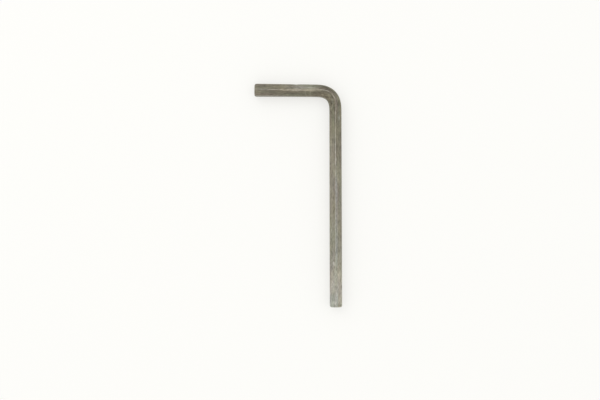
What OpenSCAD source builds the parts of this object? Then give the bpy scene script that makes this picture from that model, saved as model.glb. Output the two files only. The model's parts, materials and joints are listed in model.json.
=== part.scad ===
// L-shaped hex key, bent cold from one length of hexagonal steel bar.
// It lies on a flat surface with one ridge of the bar down and one up. The long arm runs
// along -Y and the short arm along -X. The origin is on that surface, below the middle of
// the key's outline.

/* [Bar] */
// Width across the flats of the bar
across_flats = 4; // [2:0.5:8]
// Radius that rounds the six long edges of the bar
edge_r = 0.25; // [0.05:0.05:0.5]

/* [Arms] */
// Length of the long arm, from its tip to the outside of the short arm
long_arm_l = 73.4; // [40:0.1:200]
// Length of the short arm, from its tip to the outside of the long arm
short_arm_l = 28.7; // [24:0.1:80]
// Angle between the two arms
arm_angle = 90.7; // [80:0.1:100]

/* [Bend] */
// Tightest radius on the inside of the bend
bend_inner_r = 2.5; // [1:0.1:5]
// How far the top and bottom ridges move outwards at the middle of the bend
ridge_shift = 0.6; // [0:0.05:1]

/* [Tips] */
// Depth of the bevel round each tip, measured in from the flats
tip_bevel = 0.2; // [0.1:0.05:0.8]

/* [Hidden] */
steel = [0.54, 0.51, 0.44];

// The bar's section: flats upright at both sides, a ridge at the top and one at the bottom
half_w = across_flats / 2;
flat_h = half_w * tan(30);
sharp_ridge_h = half_w / cos(30);
edge_centre_r = (half_w - edge_r) / cos(30);
ridge_h = edge_centre_r + edge_r;
edge_steps = 4;

// The bend's centreline. Its curvature grows from nothing to a peak and dies away again,
// so it is twice as long as an arc of its tightest radius.
bend_turn = 180 - arm_angle;
bend_l = 2 * (bend_inner_r + half_w) * bend_turn * PI / 180;
bend_steps = 24;
bend_step_l = bend_l / bend_steps;
bend_path = [
    for (
        i = 0, p = [0, 0];
        i <= bend_steps;
        p = p + bend_step_l * along(heading((i + 0.5) / bend_steps)), i = i + 1
    )
        p
];
// Distance from the point where the arms' centrelines would cross to each end of the bend
bend_reach = norm(bend_path[bend_steps]) / (2 * cos(bend_turn / 2));

// The arms, measured from the point where their centrelines would cross
outside_l = half_w / sin(arm_angle);
long_axis_l = long_arm_l - outside_l;
short_axis_l = short_arm_l - outside_l;
short_heading = arm_angle - 90;
tip_r = half_w - tip_bevel;
// Bar left past each tip until the tip is cut
spare_l = 1;

// The key's outline on the surface, which places the point where the centrelines cross
outline_left = -short_axis_l * cos(short_heading) - tip_r * abs(sin(short_heading));
outline_back = max(half_w, short_axis_l * sin(short_heading) + half_w * cos(short_heading));
crossing = [-(outline_left + half_w) / 2, (long_axis_l - outline_back) / 2, ridge_h];

function along(angle) = [cos(angle), sin(angle)];

// Direction of the bar at share u of the bend: from the short arm's to the long arm's
function heading(u) = bend_turn * (1 - u + sin(360 * u) / (2 * PI)) - 90;

// How strongly the bar is bent at share u of the bend, from 0 to 1
function bend_share(u) = (1 - cos(360 * u)) / 2;

// Share of the ridge's shift that a point of the section takes: all at a ridge, none at a flat
function shift_share(y) = max(0, (abs(y) - flat_h) / (sharp_ridge_h - flat_h));

// Points of the section: x outwards from the bend, y up
function section(shift = 0) = [
    for (corner = [0:5])
        for (k = [0:edge_steps])
            let (
                middle = 30 + 60 * corner,
                p = edge_centre_r * along(middle) + edge_r * along(middle - 30 + 60 * k / edge_steps)
            )
            [p.x + shift * shift_share(p.y), p.y]
];

// A section stood up across the bar at a point of its centreline
function stood_up(outline, at, angle) =
    let (out = along(angle + 90))
    [for (p = outline) [at.x + p.x * out.x, at.y + p.x * out.y, p.y]];

short_end = -(short_axis_l + spare_l) * along(heading(0));
long_end = (long_axis_l + spare_l) * along(heading(1));
bend_start = -bend_reach * along(heading(0));
rings = concat(
    [stood_up(section(), short_end, heading(0))],
    [
        for (i = [0:bend_steps])
            let (u = i / bend_steps)
            stood_up(section(ridge_shift * bend_share(u)), bend_start + bend_path[i], heading(u))
    ],
    [stood_up(section(), long_end, heading(1))]
);

// The bent bar before its tips are cut, as one skin over its sections
module bar() {
    count = len(rings[0]);
    last = len(rings) - 1;
    sides = [
        for (i = [0:last - 1])
            for (k = [0:count - 1])
                let (a = i * count + k, b = i * count + (k + 1) % count)
                each [[a, a + count, b + count], [a, b + count, b]]
    ];
    first_face = [for (k = [0:count - 1]) k];
    last_face = [for (k = [count - 1:-1:0]) last * count + k];
    polyhedron([for (ring = rings) each ring], concat([first_face, last_face], sides));
}

// What is cut off a tip that points along +Z: the spare length, and a bevel all round
module tip_cut() {
    cut_r = tip_r + across_flats;
    rotate_extrude($fn = 96)
        polygon([[0, 0], [tip_r, 0], [cut_r, -across_flats], [cut_r, 2 * spare_l], [0, 2 * spare_l]]);
}

module hex_key() {
    color(steel)
        translate(crossing)
            difference() {
                bar();
                translate([0, -long_axis_l, 0])
                    rotate([90, 0, 0])
                        tip_cut();
                rotate([0, 0, -short_heading])
                    translate([-short_axis_l, 0, 0])
                        rotate([0, -90, 0])
                            tip_cut();
            }
}

hex_key();
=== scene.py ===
import json
import math

import bpy
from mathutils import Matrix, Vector


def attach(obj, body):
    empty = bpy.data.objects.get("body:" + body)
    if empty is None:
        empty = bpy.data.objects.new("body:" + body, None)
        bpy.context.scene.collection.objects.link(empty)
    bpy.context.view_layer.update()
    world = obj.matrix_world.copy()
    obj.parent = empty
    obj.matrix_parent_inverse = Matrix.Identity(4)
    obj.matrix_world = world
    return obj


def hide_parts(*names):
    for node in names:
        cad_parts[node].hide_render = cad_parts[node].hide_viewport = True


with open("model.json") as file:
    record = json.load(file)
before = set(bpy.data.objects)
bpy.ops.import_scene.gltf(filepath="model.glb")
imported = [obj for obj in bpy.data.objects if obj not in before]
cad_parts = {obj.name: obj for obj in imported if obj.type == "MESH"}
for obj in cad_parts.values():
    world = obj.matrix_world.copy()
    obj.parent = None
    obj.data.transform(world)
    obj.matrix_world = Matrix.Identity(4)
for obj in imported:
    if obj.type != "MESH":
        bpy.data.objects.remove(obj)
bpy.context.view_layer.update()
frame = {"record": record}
mountAt = {m["name"]: m for m in frame["record"]["mounts"]}
mm = 0.001
print("frame loaded")

def addNode(tree, kind, settings=None, **inputs):
    node = tree.nodes.new(kind)
    for name, value in (settings or {}).items():
        setattr(node, name, value)
    for name, value in inputs.items():
        plug(tree, value, node.inputs[name.replace("_", " ")])
    return node


def plug(tree, value, socket):
    # a link where the value is another socket, and a plain number or colour where it isn't
    if isinstance(value, bpy.types.NodeSocket):
        tree.links.new(value, socket)
    else:
        socket.default_value = value


def calc(tree, operation, *values):
    node = tree.nodes.new("ShaderNodeMath")
    node.operation = operation
    for value, socket in zip(values, node.inputs):
        plug(tree, value, socket)
    return node.outputs[0]


def vectorCalc(tree, operation, *values):
    node = tree.nodes.new("ShaderNodeVectorMath")
    node.operation = operation
    for value, socket in zip(values, node.inputs):
        plug(tree, value, socket)
    return node.outputs["Value" if operation in ("LENGTH", "DOT_PRODUCT") else "Vector"]


def scaled(tree, vector, share):
    result = vectorCalc(tree, "SCALE", vector)
    plug(tree, share, result.node.inputs["Scale"])
    return result


def mapRange(tree, value, fromLow, fromHigh, toLow=0.0, toHigh=1.0, smooth=False):
    node = tree.nodes.new("ShaderNodeMapRange")
    if smooth:
        node.interpolation_type = "SMOOTHSTEP"
    for item, socket in zip((value, fromLow, fromHigh, toLow, toHigh), node.inputs):
        plug(tree, item, socket)
    return node.outputs["Result"]


def vectorOf(tree, x, y, z):
    return addNode(tree, "ShaderNodeCombineXYZ", X=x, Y=y, Z=z).outputs["Vector"]


def partsOf(tree, vector):
    node = addNode(tree, "ShaderNodeSeparateXYZ", Vector=vector)
    return node.outputs["X"], node.outputs["Y"], node.outputs["Z"]


def noiseOf(tree, place, scale, detail):
    stretched = vectorCalc(tree, "MULTIPLY", place, Vector(scale))
    return addNode(tree, "ShaderNodeTexNoise", Vector=stretched, Scale=1.0, Detail=detail).outputs[0]


def bumpAt(tree, along, across, place):
    # a soft round spot, 1 at its middle and 0 away from it
    spot, aside, length, width = place
    a = calc(tree, "DIVIDE", calc(tree, "SUBTRACT", along, spot * mm), length * mm)
    b = calc(tree, "DIVIDE", calc(tree, "SUBTRACT", across, aside * mm), width * mm)
    reach = calc(tree, "ADD", calc(tree, "MULTIPLY", a, a), calc(tree, "MULTIPLY", b, b))
    return calc(tree, "EXPONENT", calc(tree, "MULTIPLY", reach, -1.0))


def keepOnMesh(tree, geometry, name, kind, domain, value):
    node = addNode(
        tree,
        "GeometryNodeStoreNamedAttribute",
        {"data_type": kind, "domain": domain},
        Geometry=geometry,
        Name=name,
        Value=value,
    )
    return node.outputs["Geometry"]


# The key: one hexagonal bar, bent once. Lengths run along its middle line from the short tip.
hexKey = {
    "Across flats": 4.0 * mm,
    "Edge radius": 0.25 * mm,
    "Short arm": 26.7 * mm,  # from the tip to where the two middle lines would cross
    "Long arm": 71.4 * mm,
    "Arm angle": math.radians(90.7),
    "Inner radius": 2.5 * mm,
    "Ridge shift": 0.65 * mm,
    "Short arm twist": math.radians(4.5),
    "Twist length": 18 * mm,  # of the short arm's twist, from its tip
    "Long arm twist": math.radians(4.5),
    "Long twist share": 0.65,  # of the bar's length, where the long arm's twist is complete
    "Tip bevel": 0.2 * mm,
    "Tip wear length": 1.4 * mm,
    "Tip roughness": 0.025 * mm,
    "Face roughness": 0.02 * mm,
    "Surface ripple": 0.012 * mm,
    "Seed": 4.0,
}
# How finely the bar is divided: rings over each end face, each bevel and the rest, points round it
keyMesh = {
    "capRings": 8,
    "tipRings": 16,
    "tipLength": 0.8 * mm,  # the length of bar that the tipRings cover
    "barRings": 520,
    "edgePoints": 5,
    "flatPoints": 7,
    "joinWithin": 0.001 * mm,
    "finishPastTip": 1.5 * mm,  # how far the finish's pattern runs on over each end face
}
keyWear = {
    # unevenness of the surface, in waves per metre along the bar, outwards and up
    "ripple": (120, 700, 700),
    "tipWear": (1500, 1500, 1500),
    "endFace": (900, 2600, 900),
    # small dents, in mm: place along the bar, place across it (outwards is positive), length,
    # width and depth
    "nicks": [
        (81.6, -0.45, 0.7, 0.35, 0.05),
        (13.7, 1.9, 0.9, 0.3, 0.07),
        (47.2, 0.1, 0.5, 0.25, 0.05),
        (66.5, 0.05, 0.8, 0.2, 0.04),
        (33.4, 1.2, 0.6, 0.3, 0.03),
        (90.3, 0.9, 0.5, 0.25, 0.04),
    ],
    # dents and marks are on the top side, and fade in over this height above the bar's middle
    "topFade": 0.4 * mm,
}


def bendReachShare(armAngle, steps=400):
    # from the middle lines' crossing to each end of the bend, as a share of the bend's length
    turn = math.pi - armAngle
    x = y = 0.0
    for i in range(steps):
        u = (i + 0.5) / steps
        heading = turn * (1 - u + math.sin(math.tau * u) / math.tau)
        x += math.cos(heading) / steps
        y += math.sin(heading) / steps
    return math.hypot(x, y) / (2 * math.cos(turn / 2))


def buildBarTree(material):
    tree = bpy.data.node_groups.new("bentHexBar", "GeometryNodeTree")
    face = tree.interface
    face.new_socket("Geometry", in_out="INPUT", socket_type="NodeSocketGeometry")
    for name in hexKey:
        face.new_socket(name, in_out="INPUT", socket_type="NodeSocketFloat")
    face.new_socket("Start", in_out="INPUT", socket_type="NodeSocketVector")
    face.new_socket("Geometry", in_out="OUTPUT", socket_type="NodeSocketGeometry")
    given = tree.nodes.new("NodeGroupInput").outputs
    size = {name: given[name] for name in hexKey}

    capRings, tipRings, barRings = keyMesh["capRings"], keyMesh["tipRings"], keyMesh["barRings"]
    edgePoints, flatPoints = keyMesh["edgePoints"], keyMesh["flatPoints"]
    rings = 2 * (capRings + tipRings) + barRings + 1
    perSide = edgePoints + 1 + flatPoints
    around = 6 * perSide
    grid = addNode(
        tree, "GeometryNodeMeshGrid", Size_X=1.0, Size_Y=1.0, Vertices_X=rings, Vertices_Y=around + 1
    )

    # which ring and which point of the section each vertex is
    index = tree.nodes.new("GeometryNodeInputIndex").outputs[0]
    ring = calc(tree, "FLOOR", calc(tree, "DIVIDE", calc(tree, "ADD", index, 0.5), around + 1.0))
    column = calc(tree, "SUBTRACT", index, calc(tree, "MULTIPLY", ring, around + 1.0))
    point = calc(tree, "FLOORED_MODULO", calc(tree, "ADD", column, 0.5), float(around))
    point = calc(tree, "FLOOR", point)

    # the middle line: two straight arms and a bend whose curvature grows and dies away
    halfWidth = calc(tree, "MULTIPLY", size["Across flats"], 0.5)
    turn = calc(tree, "SUBTRACT", math.pi, size["Arm angle"])
    middleRadius = calc(tree, "ADD", size["Inner radius"], halfWidth)
    bendLength = calc(tree, "MULTIPLY", calc(tree, "MULTIPLY", middleRadius, turn), 2.0)
    reach = calc(tree, "MULTIPLY", bendLength, bendReachShare(hexKey["Arm angle"]))
    bendStart = calc(tree, "SUBTRACT", size["Short arm"], reach)
    longStart = calc(tree, "ADD", bendStart, bendLength)
    total = calc(tree, "ADD", longStart, calc(tree, "SUBTRACT", size["Long arm"], reach))

    def stationOf(ringNumber):
        tip = keyMesh["tipLength"]
        barFrom = capRings + tipRings
        barTo = barFrom + barRings
        barLength = calc(tree, "SUBTRACT", total, 2 * tip)
        first = mapRange(tree, ringNumber, capRings, barFrom, 0.0, tip)
        middle = mapRange(tree, ringNumber, barFrom, barTo, 0.0, barLength)
        last = mapRange(tree, ringNumber, barTo, barTo + tipRings, 0.0, tip)
        return calc(tree, "ADD", calc(tree, "ADD", first, middle), last)

    def headingOf(station):
        u = mapRange(tree, station, bendStart, longStart)
        wave = calc(tree, "SINE", calc(tree, "MULTIPLY", u, math.tau))
        left = calc(tree, "ADD", calc(tree, "SUBTRACT", 1.0, u), calc(tree, "DIVIDE", wave, math.tau))
        return calc(tree, "SUBTRACT", calc(tree, "MULTIPLY", turn, left), math.pi / 2)

    def directionOf(heading):
        return vectorOf(tree, calc(tree, "COSINE", heading), calc(tree, "SINE", heading), 0.0)

    station = stationOf(ring)
    before = stationOf(calc(tree, "SUBTRACT", ring, 1.0))
    half = calc(tree, "MULTIPLY", calc(tree, "ADD", station, before), 0.5)
    walked = addNode(
        tree,
        "GeometryNodeAccumulateField",
        {"data_type": "FLOAT_VECTOR", "domain": "POINT"},
        Value=scaled(tree, directionOf(headingOf(half)), calc(tree, "SUBTRACT", station, before)),
        Group_ID=column,
    )
    middleLine = vectorCalc(tree, "ADD", given["Start"], walked.outputs["Leading"])
    heading = headingOf(station)
    outwards = directionOf(calc(tree, "ADD", heading, math.pi / 2))
    forwards = directionOf(heading)

    # the section: a hexagon with rounded edges, a ridge at the top and one at the bottom
    side = calc(tree, "FLOOR", calc(tree, "DIVIDE", calc(tree, "ADD", point, 0.5), float(perSide)))
    k = calc(tree, "SUBTRACT", point, calc(tree, "MULTIPLY", side, float(perSide)))
    sideAngle = calc(tree, "MULTIPLY", side, math.pi / 3)
    alongFlat = mapRange(tree, k, edgePoints, perSide)
    roundEdge = mapRange(tree, k, 0.0, edgePoints, 0.0, math.pi / 3)
    edgeInset = calc(tree, "SUBTRACT", halfWidth, size["Edge radius"])
    centreRadius = calc(tree, "DIVIDE", edgeInset, math.cos(math.pi / 6))
    cornerA = directionOf(calc(tree, "ADD", sideAngle, math.pi / 6))
    cornerB = directionOf(calc(tree, "ADD", sideAngle, math.pi / 2))
    between = tree.nodes.new("ShaderNodeMix")
    between.data_type = "VECTOR"
    for value, name in ((alongFlat, "Factor"), (cornerA, "A"), (cornerB, "B")):
        tree.links.new(value, next(s for s in between.inputs if s.name == name and s.enabled))
    fromCentre = scaled(tree, next(s for s in between.outputs if s.enabled), centreRadius)
    edgeDirection = directionOf(calc(tree, "ADD", sideAngle, roundEdge))
    section = vectorCalc(tree, "ADD", fromCentre, scaled(tree, edgeDirection, size["Edge radius"]))

    # the bar keeps its own coordinates for the finish: along it, outwards and up
    across, up, _ = partsOf(tree, section)
    barPlace = vectorOf(tree, station, across, up)
    seededPlace = vectorCalc(tree, "ADD", barPlace, vectorOf(tree, size["Seed"], 0.0, 0.0))

    # wear: a shallow ripple all along, rough tips, and the nicks of the top side
    fromTip = calc(tree, "MINIMUM", station, calc(tree, "SUBTRACT", total, station))
    ripple = noiseOf(tree, seededPlace, keyWear["ripple"], 3.0)
    tipWear = noiseOf(tree, seededPlace, keyWear["tipWear"], 3.0)
    atTip = mapRange(tree, fromTip, 0.0, size["Tip wear length"], 1.0, 0.0, smooth=True)
    worn = calc(tree, "MULTIPLY", calc(tree, "MULTIPLY", tipWear, atTip), size["Tip roughness"])
    worn = calc(tree, "ADD", worn, calc(tree, "MULTIPLY", ripple, size["Surface ripple"]))
    topSide = mapRange(tree, up, 0.0, keyWear["topFade"])
    for *nickPlace, depth in keyWear["nicks"]:
        dent = bumpAt(tree, station, across, nickPlace)
        dent = calc(tree, "MULTIPLY", calc(tree, "MULTIPLY", dent, topSide), depth * mm)
        worn = calc(tree, "ADD", worn, dent)

    # the cone bevel at each tip, and the rings of the end faces, which shrink to the middle
    tipRadius = calc(tree, "SUBTRACT", halfWidth, size["Tip bevel"])
    radius = vectorCalc(tree, "LENGTH", section)
    wanted = calc(tree, "MINIMUM", radius, calc(tree, "ADD", tipRadius, fromTip))
    wanted = calc(tree, "SUBTRACT", wanted, worn)
    shortCap = mapRange(tree, ring, 0.0, capRings)
    longCap = mapRange(tree, ring, rings - 1.0, rings - 1.0 - capRings)
    capShare = calc(tree, "MINIMUM", shortCap, longCap)
    pastRim = calc(tree, "SUBTRACT", 1.0, capShare)
    sizeShare = calc(tree, "MULTIPLY", calc(tree, "DIVIDE", wanted, radius), capShare)
    shaped = scaled(tree, section, sizeShare)

    # the arms' slight twist
    twistShare = mapRange(tree, station, 0.0, size["Twist length"], 1.0, 0.0, smooth=True)
    longTwistTo = calc(tree, "MULTIPLY", total, size["Long twist share"])
    longShare = mapRange(tree, station, bendStart, longTwistTo)
    longTwist = calc(tree, "MULTIPLY", size["Long arm twist"], longShare)
    shortTwist = calc(tree, "MULTIPLY", size["Short arm twist"], twistShare)
    twisted = addNode(
        tree,
        "ShaderNodeVectorRotate",
        {"rotation_type": "Z_AXIS"},
        Vector=shaped,
        Angle=calc(tree, "SUBTRACT", longTwist, shortTwist),
    )
    x, y, _ = partsOf(tree, twisted.outputs[0])

    # the ridges' move outwards in the bend
    bendPlace = mapRange(tree, station, bendStart, longStart)
    bendWave = calc(tree, "COSINE", calc(tree, "MULTIPLY", bendPlace, math.tau))
    bendShare = calc(tree, "MULTIPLY", calc(tree, "SUBTRACT", 1.0, bendWave), 0.5)
    flatHeight = calc(tree, "MULTIPLY", halfWidth, math.tan(math.pi / 6))
    ridgeHeight = calc(tree, "DIVIDE", halfWidth, math.cos(math.pi / 6))
    shiftShare = mapRange(tree, calc(tree, "ABSOLUTE", y), flatHeight, ridgeHeight)
    shift = calc(tree, "MULTIPLY", calc(tree, "MULTIPLY", bendShare, shiftShare), size["Ridge shift"])
    x = calc(tree, "ADD", x, calc(tree, "MULTIPLY", shift, capShare))

    # the end faces are a little uneven, cut inwards: forwards at the short tip, back at the long
    seededFace = vectorCalc(tree, "ADD", shaped, vectorOf(tree, size["Seed"], 0.0, 0.0))
    faceNoise = noiseOf(tree, seededFace, keyWear["endFace"], 2.0)
    faceDepth = calc(tree, "MULTIPLY", faceNoise, size["Face roughness"])
    inwards = mapRange(tree, ring, rings / 2 - 1, rings / 2 + 1, 1.0, -1.0)
    faceMove = calc(tree, "MULTIPLY", calc(tree, "MULTIPLY", faceDepth, pastRim), inwards)
    place = vectorCalc(tree, "ADD", middleLine, scaled(tree, outwards, x))
    place = vectorCalc(tree, "ADD", place, scaled(tree, forwards, faceMove))
    place = vectorCalc(tree, "ADD", place, vectorOf(tree, 0.0, 0.0, y))

    # on the end faces the finish runs on past the tip and in to the middle
    pastTip = calc(tree, "MULTIPLY", pastRim, keyMesh["finishPastTip"])
    pastTip = calc(tree, "MULTIPLY", pastTip, inwards)
    finishPlace = vectorOf(
        tree,
        calc(tree, "SUBTRACT", station, pastTip),
        calc(tree, "MULTIPLY", across, capShare),
        calc(tree, "MULTIPLY", up, capShare),
    )
    middleOfEdge = edgePoints * 0.5
    edgeRise = mapRange(tree, k, -0.5, middleOfEdge)
    edgeFall = mapRange(tree, k, edgePoints + 0.5, middleOfEdge)
    edgeShare = calc(tree, "MULTIPLY", edgeRise, edgeFall)
    bar = grid.outputs["Mesh"]
    bar = keepOnMesh(tree, bar, "barPlace", "FLOAT_VECTOR", "POINT", finishPlace)
    bar = keepOnMesh(tree, bar, "edgeShare", "FLOAT", "POINT", edgeShare)
    bar = keepOnMesh(tree, bar, "capShare", "FLOAT", "POINT", capShare)
    bar = keepOnMesh(tree, bar, "UVMap", "FLOAT2", "CORNER", grid.outputs["UV Map"])

    bar = addNode(tree, "GeometryNodeSetPosition", Geometry=bar, Position=place).outputs["Geometry"]
    joined = addNode(
        tree, "GeometryNodeMergeByDistance", Geometry=bar, Distance=keyMesh["joinWithin"]
    )
    turned = addNode(tree, "GeometryNodeFlipFaces", Mesh=joined.outputs["Geometry"])
    smooth = addNode(tree, "GeometryNodeSetShadeSmooth", Geometry=turned.outputs["Mesh"])
    real = addNode(tree, "GeometryNodeRealizeInstances", Geometry=smooth.outputs["Geometry"])
    dressed = addNode(
        tree, "GeometryNodeSetMaterial", Geometry=real.outputs["Geometry"], Material=material
    )
    result = tree.nodes.new("NodeGroupOutput")
    tree.links.new(dressed.outputs["Geometry"], result.inputs["Geometry"])
    return tree


def makeKey(material):
    tree = buildBarTree(material)
    seedMesh = bpy.data.meshes.new("hexKeySeed")
    maker = bpy.data.objects.new("hexKeyMaker", seedMesh)
    bpy.context.scene.collection.objects.link(maker)
    modifier = maker.modifiers.new("bentHexBar", "NODES")
    modifier.node_group = tree
    sockets = {s.name: s.identifier for s in tree.interface.items_tree if s.in_out == "INPUT"}
    for name, value in hexKey.items():
        modifier[sockets[name]] = value
    modifier[sockets["Start"]] = mountAt["short_tip"]["pos_m"]
    scenePlan = bpy.context.evaluated_depsgraph_get()
    mesh = bpy.data.meshes.new_from_object(maker.evaluated_get(scenePlan))
    mesh.name = "hexKey"
    maker.modifiers.clear()
    bpy.data.objects.remove(maker)
    key = bpy.data.objects.new("hexKey", mesh)
    bpy.context.scene.collection.objects.link(key)
    print("key swept:", len(mesh.vertices), "points,", len(mesh.polygons), "faces")
    return key


# The finish: drawn steel under a dull brown film, bare and pale where hands and screws have
# rubbed it, with painted highlights on the ridge, the side edges and a few pale marks, and
# painted shade on the upright flats and inside the bend. Places along the bar are in mm from
# the short tip, and places across it in mm outwards from its middle.
steelLook = {
    "plain": (0.305, 0.285, 0.226, 1),
    "film": (0.152, 0.135, 0.095, 1),
    "bareAndHighlight": (0.490, 0.474, 0.405, 1),
    "roughness": (0.35, 0.48),
    "smootherWhereBare": 0.08,
    "bumpStrength": 0.6,
    "bumpDepth": 0.02 * mm,
    # share of film, of bare metal and of the bright line on the ridge (worn metal with a painted
    # highlight), at places along the bar
    "barLength": 95.8,
    "filmAlong": [
        (0, 0.38), (9, 0.50), (22, 0.58), (26, 0.62), (30, 0.58),
        (36, 0.56), (43, 0.42), (55, 0.18), (66, 0.05),
    ],
    "bareAlong": [(60, 0.0), (76, 0.05), (82, 0.30), (86, 0.55), (92, 0.62), (95.8, 0.75)],
    "ridgeWearAndHighlightAlong": [
        (0, 0.95), (8, 0.62), (12, 0.45), (20, 0.50), (22, 0.82),
        (24, 0.70), (25, 0.1), (27, 0.35), (30, 0.72), (44, 0.80),
        (50, 0.76), (56, 0.58), (62, 0.55), (69, 0.78), (82, 0.55),
    ],
    "raggedFrom": 0.3,  # the share of bare metal from which the grain shows fully in it
    "nickBarePerDepth": 18,  # share of bare metal for each mm of a nick's depth
    "paleMarkGain": 1.3,
    "endFaceBare": 0.6,
    # limits on capShare, which is 1 on the bar and falls to 0 at the middle of an end face
    "onBar": (0.97, 1.0),
    "onEndFace": (0.98, 0.8),
    # patterns of the grain, in waves per metre along the bar, outwards and up
    "grain": {
        "dashes": (420, 3300, 3300),
        "streaks": (100, 2500, 2500),
        "grit": (1150, 3600, 3600),
        "clouds": (150, 480, 480),
        "blotches": (750, 1300, 1300),
        "hue": (75, 1100, 1100),
    },
    "noiseSpan": (0.3, 0.7),  # where most of a pattern's values lie
    # how strongly each pattern shows in each layer
    "grainShows": {
        "film": {"clouds": 0.25, "streaks": 0.20},
        "bareAndHighlight": {"grit": 0.12, "clouds": 0.08, "streaks": 0.16},
        "level": {"dashes": 0.21, "streaks": 0.16, "grit": 0.22},
        "bend": {"blotches": 0.36},
        "redness": {"hue": 0.030},
        "blueness": {"clouds": 0.07},
        "height": {"streaks": 0.8, "dashes": 1.0, "grit": 0.6},
    },
    # from, to and softness of a zone's limits, along the bar and then across it, and what the
    # zone adds to its layer, which is 1.0 where it only marks a place
    "zones": {
        "rubbedFilm": ((9.2, 21.5, 1.0), (-0.35, 2.5, 0.12), -0.28),
        "rubbedPatch": ((9.2, 21.5, 1.0), (-0.35, 0.55, 0.12), 0.26),
        "widePatch": ((13.0, 19.5, 1.6), (-0.3, 2.5, 0.15), 0.17),
        "greyBand": ((50, 84, 5), (0.0, 0.65, 0.15), 0.22),
        "darkBesideRidge": ((28.5, 66, 2), (-0.42, -0.20, 0.07), -0.17),
        "paleInnerSide": ((-2, 21, 2), (-2.5, -1.35, 0.15), 0.14),
        # painted shade on the inner side of the bend
        "innerBendShade": ((23.5, 30.5, 1.5), (-1.8, -1.0, 0.2), -0.11),
        "blotchyBend": ((21.5, 31.5, 1.5), (-1.8, 1.8, 0.15), 1.0),
        "tipEnd": ((91.5, 97, 1.0), (-2.5, 0.7, 0.2), 1.0),
    },
    # more or less film on the inner side: from, to and softness along the bar, and how much
    "innerFilm": [(-5, 32, 2, 0.18), (35, 80, 5, -0.16)],
    "innerSoftness": 0.15,
    # painted shade: the flats that stand upright have more film and a darker tone, most of all near the
    # long tip
    "uprightShade": {
        "height": (-1.03, 1.03, 0.07),
        "film": 0.30,
        "level": -0.07,
        "nearTip": (80, 100, 5),
        "nearTipLevel": -0.08,
    },
    # the bright line on the ridge, worn metal with a painted highlight, is broken by the dashes,
    # and the grit breaks the worn edges, which are paler at the bar's sides as a painted highlight
    "ridgeWearAndHighlight": {"width": (-0.09, 0.09, 0.06), "low": 0.7, "fullAt": 0.6},
    "wornEdge": {"low": 0.10, "high": 0.35, "fullAt": 0.62},
    "sideEdgeHighlight": {"from": 1.2 * mm, "to": 1.8 * mm, "gain": 2.0},
    # how far some zones lean from green to red, and how far to blue
    "hueOf": {
        "redness": {"tipEnd": -0.025, "rubbedPatch": 0.04, "greyBand": -0.10},
        "blueness": {"tipEnd": 0.08, "rubbedPatch": -0.22, "greyBand": 0.45},
    },
    # small marks: place along, place across, length, width, and how much lighter or darker
    "marks": [
        (15.0, 1.35, 1.6, 0.35, 0.12),
        (18.3, 0.95, 1.3, 0.25, 0.18),
        (16.8, -0.85, 0.14, 0.7, 0.20),
        (17.6, -0.9, 0.12, 0.8, -0.18),
        (18.4, -0.85, 0.14, 0.6, 0.16),
        # painted highlights: pale streaks across the bend, where the ridge's highlight runs
        (25.6, 0.25, 0.5, 0.16, 0.30),
        (26.5, -0.15, 0.5, 0.16, 0.30),
        (27.3, -0.75, 0.5, 0.16, 0.26),
        (28.0, -0.98, 0.5, 0.16, 0.26),
        (27.4, 0.5, 0.7, 0.12, 0.28),
        (25.1, -0.3, 0.3, 0.5, -0.22),
        (12.0, -1.05, 3.2, 0.16, -0.16),
        (29.8, 0.95, 0.7, 0.3, 0.14),
        (29.8, -0.50, 1.8, 0.25, -0.14),
        (29.9, -1.0, 0.5, 0.3, 0.16),
        (32.2, 0.8, 1.1, 0.25, 0.10),
        (42.8, 0.65, 1.2, 0.22, -0.22),
        (48.3, -0.9, 0.5, 0.5, 0.12),
        (79.9, -0.65, 1.1, 0.30, -0.10),
        (80.2, -0.3, 1.1, 0.12, -0.15),
        # a painted highlight: the glint of the nick at 81.6 mm
        (81.3, -0.58, 0.48, 0.32, 0.55),
        (83.2, -0.4, 1.2, 0.2, -0.12),
        (84.3, 1.2, 0.9, 0.35, 0.10),
        (88.0, -1.15, 1.5, 0.35, 0.24),
        (88.9, 1.85, 0.5, 0.15, -0.35),
        (92.5, 0.5, 1.3, 0.25, 0.22),
        (93.3, 1.2, 0.8, 0.35, 0.16),
        (95.1, 1.45, 0.35, 0.35, -0.30),
        (95.3, -0.3, 0.25, 0.3, -0.12),
    ],
    # broad patches, lighter or darker: from, to along the bar, from, to across it, and how much
    "tones": [
        (2.5, 8.5, 0.35, 1.4, -0.05),
        (4.0, 8.3, -0.5, -0.05, 0.10),
        (12.5, 16.5, 1.2, 2.5, -0.06),
        (8.8, 12.2, 0.3, 2.2, -0.06),
        (8.8, 12.2, 0.05, 0.7, -0.08),
        (12.5, 16.5, -0.2, 0.3, -0.09),
        (17.0, 24.0, -2.5, -1.0, 0.08),
        (28.8, 31.0, -0.5, -0.22, -0.07),
        (28.5, 31.2, 0.25, 1.1, -0.07),
        (31.0, 38.5, -1.1, -0.2, -0.06),
        (33.8, 38.2, 0.3, 2.5, 0.06),
        (38.5, 46.5, 0.2, 0.8, 0.08),
        (41.5, 46.8, -2.5, 0.15, 0.12),
        (53.5, 58.5, -2.5, -0.4, 0.07),
        (79.0, 86.0, -2.5, -0.5, -0.10),
        # a painted highlight: the glint of the nick at 81.6 mm
        (81.0, 81.7, -0.85, -0.3, 0.40),
        (83.0, 86.0, 0.2, 0.8, -0.06),
        (86.0, 89.0, 0.25, 0.9, -0.07),
        (86.0, 88.7, 1.2, 2.5, 0.07),
        (89.0, 94.0, -1.7, -0.4, 0.05),
        (82.0, 95.0, -0.35, 0.15, 0.07),
        (91.8, 94.6, 0.0, 0.8, -0.07),
        (92.0, 97.0, 1.3, 2.5, -0.08),
    ],
    "toneSoftness": {"along": 0.8, "across": 0.15},
}


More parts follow.
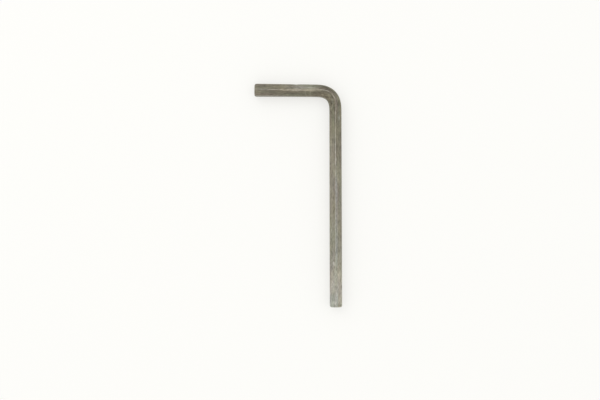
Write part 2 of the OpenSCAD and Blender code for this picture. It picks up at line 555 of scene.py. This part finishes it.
def mixColour(tree, share, a, b):
    node = tree.nodes.new("ShaderNodeMix")
    node.data_type = "RGBA"
    sockets = [socket for socket in node.inputs if socket.enabled]
    for value, socket in zip((share, a, b), sockets):
        plug(tree, value, socket)
    return next(socket for socket in node.outputs if socket.enabled)


def shareAlong(tree, along, stops):
    # a share that changes along the bar, through the places given
    node = tree.nodes.new("ShaderNodeValToRGB")
    ramp = node.color_ramp
    ramp.interpolation = "EASE"
    spots = [(place / steelLook["barLength"], share) for place, share in stops]
    ramp.elements[0].position = spots[0][0]
    ramp.elements[0].color = (spots[0][1],) * 3 + (1,)
    ramp.elements[1].position = spots[-1][0]
    ramp.elements[1].color = (spots[-1][1],) * 3 + (1,)
    for place, share in spots[1:-1]:
        ramp.elements.new(place).color = (share,) * 3 + (1,)
    plug(tree, mapRange(tree, along, 0.0, steelLook["barLength"] * mm), node.inputs["Fac"])
    return node.outputs["Color"]


def makeSteel():
    material = bpy.data.materials.new("wornDrawnSteel")
    material.use_nodes = True
    tree = material.node_tree
    shader = tree.nodes["Principled BSDF"]
    place = addNode(tree, "ShaderNodeAttribute", {"attribute_name": "barPlace"}).outputs["Vector"]
    edge = addNode(tree, "ShaderNodeAttribute", {"attribute_name": "edgeShare"}).outputs["Fac"]
    cap = addNode(tree, "ShaderNodeAttribute", {"attribute_name": "capShare"}).outputs["Fac"]
    along, across, up = partsOf(tree, place)
    look = steelLook
    noise = {name: noiseOf(tree, place, scale, 3.0) for name, scale in look["grain"].items()}

    def times(*values):
        result = values[0]
        for value in values[1:]:
            result = calc(tree, "MULTIPLY", result, value)
        return result

    def summed(*values):
        result = values[0]
        for value in values[1:]:
            result = calc(tree, "ADD", result, value)
        return result

    def spread(name, amount):
        # a pattern of the grain, stretched to run from minus to plus the amount
        return mapRange(tree, noise[name], *look["noiseSpan"], -amount, amount)

    def grained(layer):
        return summed(*[spread(name, amount) for name, amount in look["grainShows"][layer].items()])

    def within(value, low, high, soft):
        rise = mapRange(tree, value, (low - soft) * mm, (low + soft) * mm, smooth=True)
        fall = mapRange(tree, value, (high + soft) * mm, (high - soft) * mm, smooth=True)
        return calc(tree, "MULTIPLY", rise, fall)

    def patchOf(alongLimits, acrossLimits, amount):
        return times(within(along, *alongLimits), within(across, *acrossLimits), amount)

    topSide = mapRange(tree, up, 0.0, keyWear["topFade"])
    onBar = mapRange(tree, cap, *look["onBar"])
    onEndFace = mapRange(tree, cap, *look["onEndFace"])
    upright = times(within(up, *look["uprightShade"]["height"]), onBar)
    zone = {name: patchOf(*limits) for name, limits in look["zones"].items()}
    zone["tipEnd"] = times(zone["tipEnd"], onBar)

    # the film: thick on the short arm's inner side and inside the bend, nearly gone from the long
    # arm, and a little thicker on the upright flats, where it is painted shade
    soft = look["innerSoftness"] * mm
    innerSide = mapRange(tree, across, soft, -soft)
    film = summed(
        shareAlong(tree, along, look["filmAlong"]),
        times(upright, look["uprightShade"]["film"]),
        *[times(innerSide, within(along, *limits), amount) for *limits, amount in look["innerFilm"]],
        zone["rubbedFilm"],
        grained("film"),
    )
    colour = mixColour(tree, mapRange(tree, film, 0.0, 1.0), look["plain"], look["film"])

    # bare metal: the long tip, a patch on the short arm, and a grey band along the long arm
    bareAndHighlight = shareAlong(tree, along, look["bareAlong"])
    bareAndHighlight = summed(bareAndHighlight, zone["rubbedPatch"], zone["widePatch"], zone["greyBand"])
    raggedness = mapRange(tree, bareAndHighlight, 0.0, look["raggedFrom"])
    bareAndHighlight = calc(tree, "ADD", bareAndHighlight, times(grained("bareAndHighlight"), raggedness))

    # bare metal and painted highlights: the worn ridge with its painted highlight, the other edges
    # with a painted highlight at the sides, the nicks, the end faces and the pale marks, some of them
    # painted highlights
    ridge, wornEdge, sideEdgeHighlight = look["ridgeWearAndHighlight"], look["wornEdge"], look["sideEdgeHighlight"]
    noiseLow = look["noiseSpan"][0]
    dashed = mapRange(tree, noise["dashes"], noiseLow, ridge["fullAt"], ridge["low"], 1.0)
    # the ridge's bright line: worn metal and a painted highlight
    ridgeWearAndHighlight = times(within(across, *ridge["width"]), topSide, onBar, dashed)
    ridgeWearAndHighlight = times(ridgeWearAndHighlight, shareAlong(tree, along, look["ridgeWearAndHighlightAlong"]))
    bareAndHighlight = calc(tree, "MAXIMUM", bareAndHighlight, ridgeWearAndHighlight)
    gritty = mapRange(
        tree, noise["grit"], noiseLow, wornEdge["fullAt"], wornEdge["low"], wornEdge["high"]
    )
    aside = calc(tree, "ABSOLUTE", across)
    # a painted highlight: the worn edges are paler at the bar's sides
    sideGain = mapRange(tree, aside, sideEdgeHighlight["from"], sideEdgeHighlight["to"], 1.0, sideEdgeHighlight["gain"])
    bareAndHighlight = calc(tree, "MAXIMUM", bareAndHighlight, times(edge, sideGain, gritty))
    for *nickPlace, depth in keyWear["nicks"]:
        share = min(1.0, depth * look["nickBarePerDepth"])
        nick = times(bumpAt(tree, along, across, nickPlace), topSide, share)
        bareAndHighlight = calc(tree, "MAXIMUM", bareAndHighlight, nick)
    bareAndHighlight = calc(tree, "MAXIMUM", bareAndHighlight, times(onEndFace, look["endFaceBare"]))
    paleMarks = []
    darkMarks = []
    for *markPlace, strength in look["marks"]:
        spot = times(bumpAt(tree, along, across, markPlace), topSide)
        if strength > 0:
            paleMarks.append(times(spot, strength * look["paleMarkGain"]))
        else:
            darkMarks.append(times(spot, strength))
    bareAndHighlight = summed(bareAndHighlight, *paleMarks)
    colour = mixColour(tree, mapRange(tree, bareAndHighlight, 0.0, 1.0), colour, look["bareAndHighlight"])

    # brightness: grain from drawing the bar, blotches in the bend, a dark line inside the ridge,
    # painted shade inside the bend and on the upright flats, the dark marks and the broad patches,
    # one of which is a painted highlight on a nick
    patches = []
    softness = look["toneSoftness"]
    for fromAlong, toAlong, fromAcross, toAcross, amount in look["tones"]:
        alongLimits = (fromAlong, toAlong, softness["along"])
        acrossLimits = (fromAcross, toAcross, softness["across"])
        patches.append(patchOf(alongLimits, acrossLimits, amount))
    level = summed(
        1.0,
        grained("level"),
        times(grained("bend"), zone["blotchyBend"]),
        zone["darkBesideRidge"],
        zone["paleInnerSide"],
        zone["innerBendShade"],
        times(upright, look["uprightShade"]["level"]),
        times(upright, within(along, *look["uprightShade"]["nearTip"]), look["uprightShade"]["nearTipLevel"]),
        *darkMarks,
        *patches,
    )

    # the hue: slightly redder or greener, and bluer or yellower
    lean = {}
    for layer, amounts in look["hueOf"].items():
        lean[layer] = summed(grained(layer), *[times(zone[n], amount) for n, amount in amounts.items()])
    tint = vectorOf(
        tree,
        calc(tree, "ADD", 1.0, lean["redness"]),
        calc(tree, "SUBTRACT", 1.0, lean["redness"]),
        calc(tree, "ADD", 1.0, lean["blueness"]),
    )
    colour = scaled(tree, vectorCalc(tree, "MULTIPLY", colour, tint), level)
    tree.links.new(colour, shader.inputs["Base Color"])

    roughness = mapRange(tree, noise["dashes"], *look["noiseSpan"], *look["roughness"])
    smoother = times(bareAndHighlight, look["smootherWhereBare"])
    tree.links.new(calc(tree, "SUBTRACT", roughness, smoother), shader.inputs["Roughness"])
    shader.inputs["Metallic"].default_value = 1.0

    shares = look["grainShows"]["height"]
    heights = summed(*[times(noise[name], share) for name, share in shares.items()])
    bump = addNode(
        tree,
        "ShaderNodeBump",
        Strength=look["bumpStrength"],
        Distance=look["bumpDepth"],
        Height=heights,
    )
    tree.links.new(bump.outputs["Normal"], shader.inputs["Normal"])
    print("steel mixed")
    return material


# A pale matt floor under the key, just below the surface that the key lies on
floorLook = {
    "colour": (0.97, 0.97, 0.948, 1),
    "glow": (0.997, 0.990, 0.965, 1),
    "glowShare": 0.62,
    "size": 6,  # in metres
    "height": -0.02 * mm,
}


def makeFloor():
    bpy.ops.mesh.primitive_plane_add(size=floorLook["size"], location=(0, 0, floorLook["height"]))
    floor = bpy.context.object
    floor.name = "floor"
    material = bpy.data.materials.new("paleFloor")
    material.use_nodes = True
    tree = material.node_tree
    shader = tree.nodes["Principled BSDF"]
    shader.inputs["Base Color"].default_value = floorLook["colour"]
    shader.inputs["Roughness"].default_value = 1.0
    shader.inputs["Specular IOR Level"].default_value = 0.0
    # the camera and the steel see a paler floor with a softer shadow on it
    glow = addNode(tree, "ShaderNodeEmission", Color=floorLook["glow"], Strength=1.0)
    path = tree.nodes.new("ShaderNodeLightPath")
    seen = calc(tree, "MAXIMUM", path.outputs["Is Camera Ray"], path.outputs["Is Glossy Ray"])
    seen = calc(tree, "MAXIMUM", seen, path.outputs["Is Transmission Ray"])
    share = calc(tree, "MULTIPLY", seen, floorLook["glowShare"])
    blend = tree.nodes.new("ShaderNodeMixShader")
    tree.links.new(share, blend.inputs[0])
    tree.links.new(shader.outputs[0], blend.inputs[1])
    tree.links.new(glow.outputs[0], blend.inputs[2])
    tree.links.new(blend.outputs[0], tree.nodes["Material Output"].inputs["Surface"])
    floor.data.materials.append(material)
    print("floor laid")


# Soft light from all round, a little dimmer near the horizon, and a wide lamp at the back left
studio = {
    "sky": (1.0, 1.0, 0.985, 1),
    "overhead": 0.95,
    "horizon": 0.80,
    "overheadFrom": 0.8,  # height on the sky, from 0 at the horizon to 1 straight up
    "lampPower": 0.9,
    "lampSize": 0.6,
    "lampPlace": (-0.42, 0.42, 0.55),
}


def makeLights():
    world = bpy.data.worlds.new("softStudio")
    bpy.context.scene.world = world
    world.use_nodes = True
    tree = world.node_tree
    background = tree.nodes["Background"]
    background.inputs["Color"].default_value = studio["sky"]
    sky = addNode(tree, "ShaderNodeTexCoord").outputs["Generated"]
    height = partsOf(tree, sky)[2]
    strength = mapRange(
        tree, height, 0.0, studio["overheadFrom"], studio["horizon"], studio["overhead"]
    )
    tree.links.new(strength, background.inputs["Strength"])
    lamp = bpy.data.lights.new("softLamp", "AREA")
    lamp.shape = "DISK"
    lamp.size = studio["lampSize"]
    lamp.energy = studio["lampPower"]
    holder = bpy.data.objects.new("softLamp", lamp)
    holder.location = studio["lampPlace"]
    holder.rotation_euler = (-Vector(studio["lampPlace"])).to_track_quat("-Z", "Y").to_euler()
    bpy.context.scene.collection.objects.link(holder)
    print("lights set")


# Looking straight down, with the key to the upper right of the view's middle
view = {
    "height": 420 * mm,
    "fromCrossing": (-11.80 * mm, -36.00 * mm),  # from where the arms' middle lines cross
    "roll": math.radians(-0.17),
    "widthSeen": 199.4 * mm,
    "filmWidth": 36,
    "nearest": 1 * mm,
}


def makeCamera():
    longTip = mountAt["long_tip"]["pos_m"]
    crossing = Vector((longTip[0], longTip[1] + hexKey["Long arm"], 0))
    camera = bpy.data.cameras.new("camera")
    camera.sensor_width = view["filmWidth"]
    camera.lens = view["filmWidth"] * view["height"] / view["widthSeen"]
    camera.clip_start = view["nearest"]
    holder = bpy.data.objects.new("camera", camera)
    holder.location = crossing + Vector((*view["fromCrossing"], view["height"]))
    holder.rotation_euler = (0, 0, view["roll"])
    bpy.context.scene.collection.objects.link(holder)
    bpy.context.scene.camera = holder
    print("camera placed")


bpy.context.scene.view_settings.view_transform = "Standard"
makeCamera()
makeLights()
makeFloor()
steel = makeSteel()
hexKeyPiece = makeKey(steel)
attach(hexKeyPiece, "root")
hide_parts("hex_key")
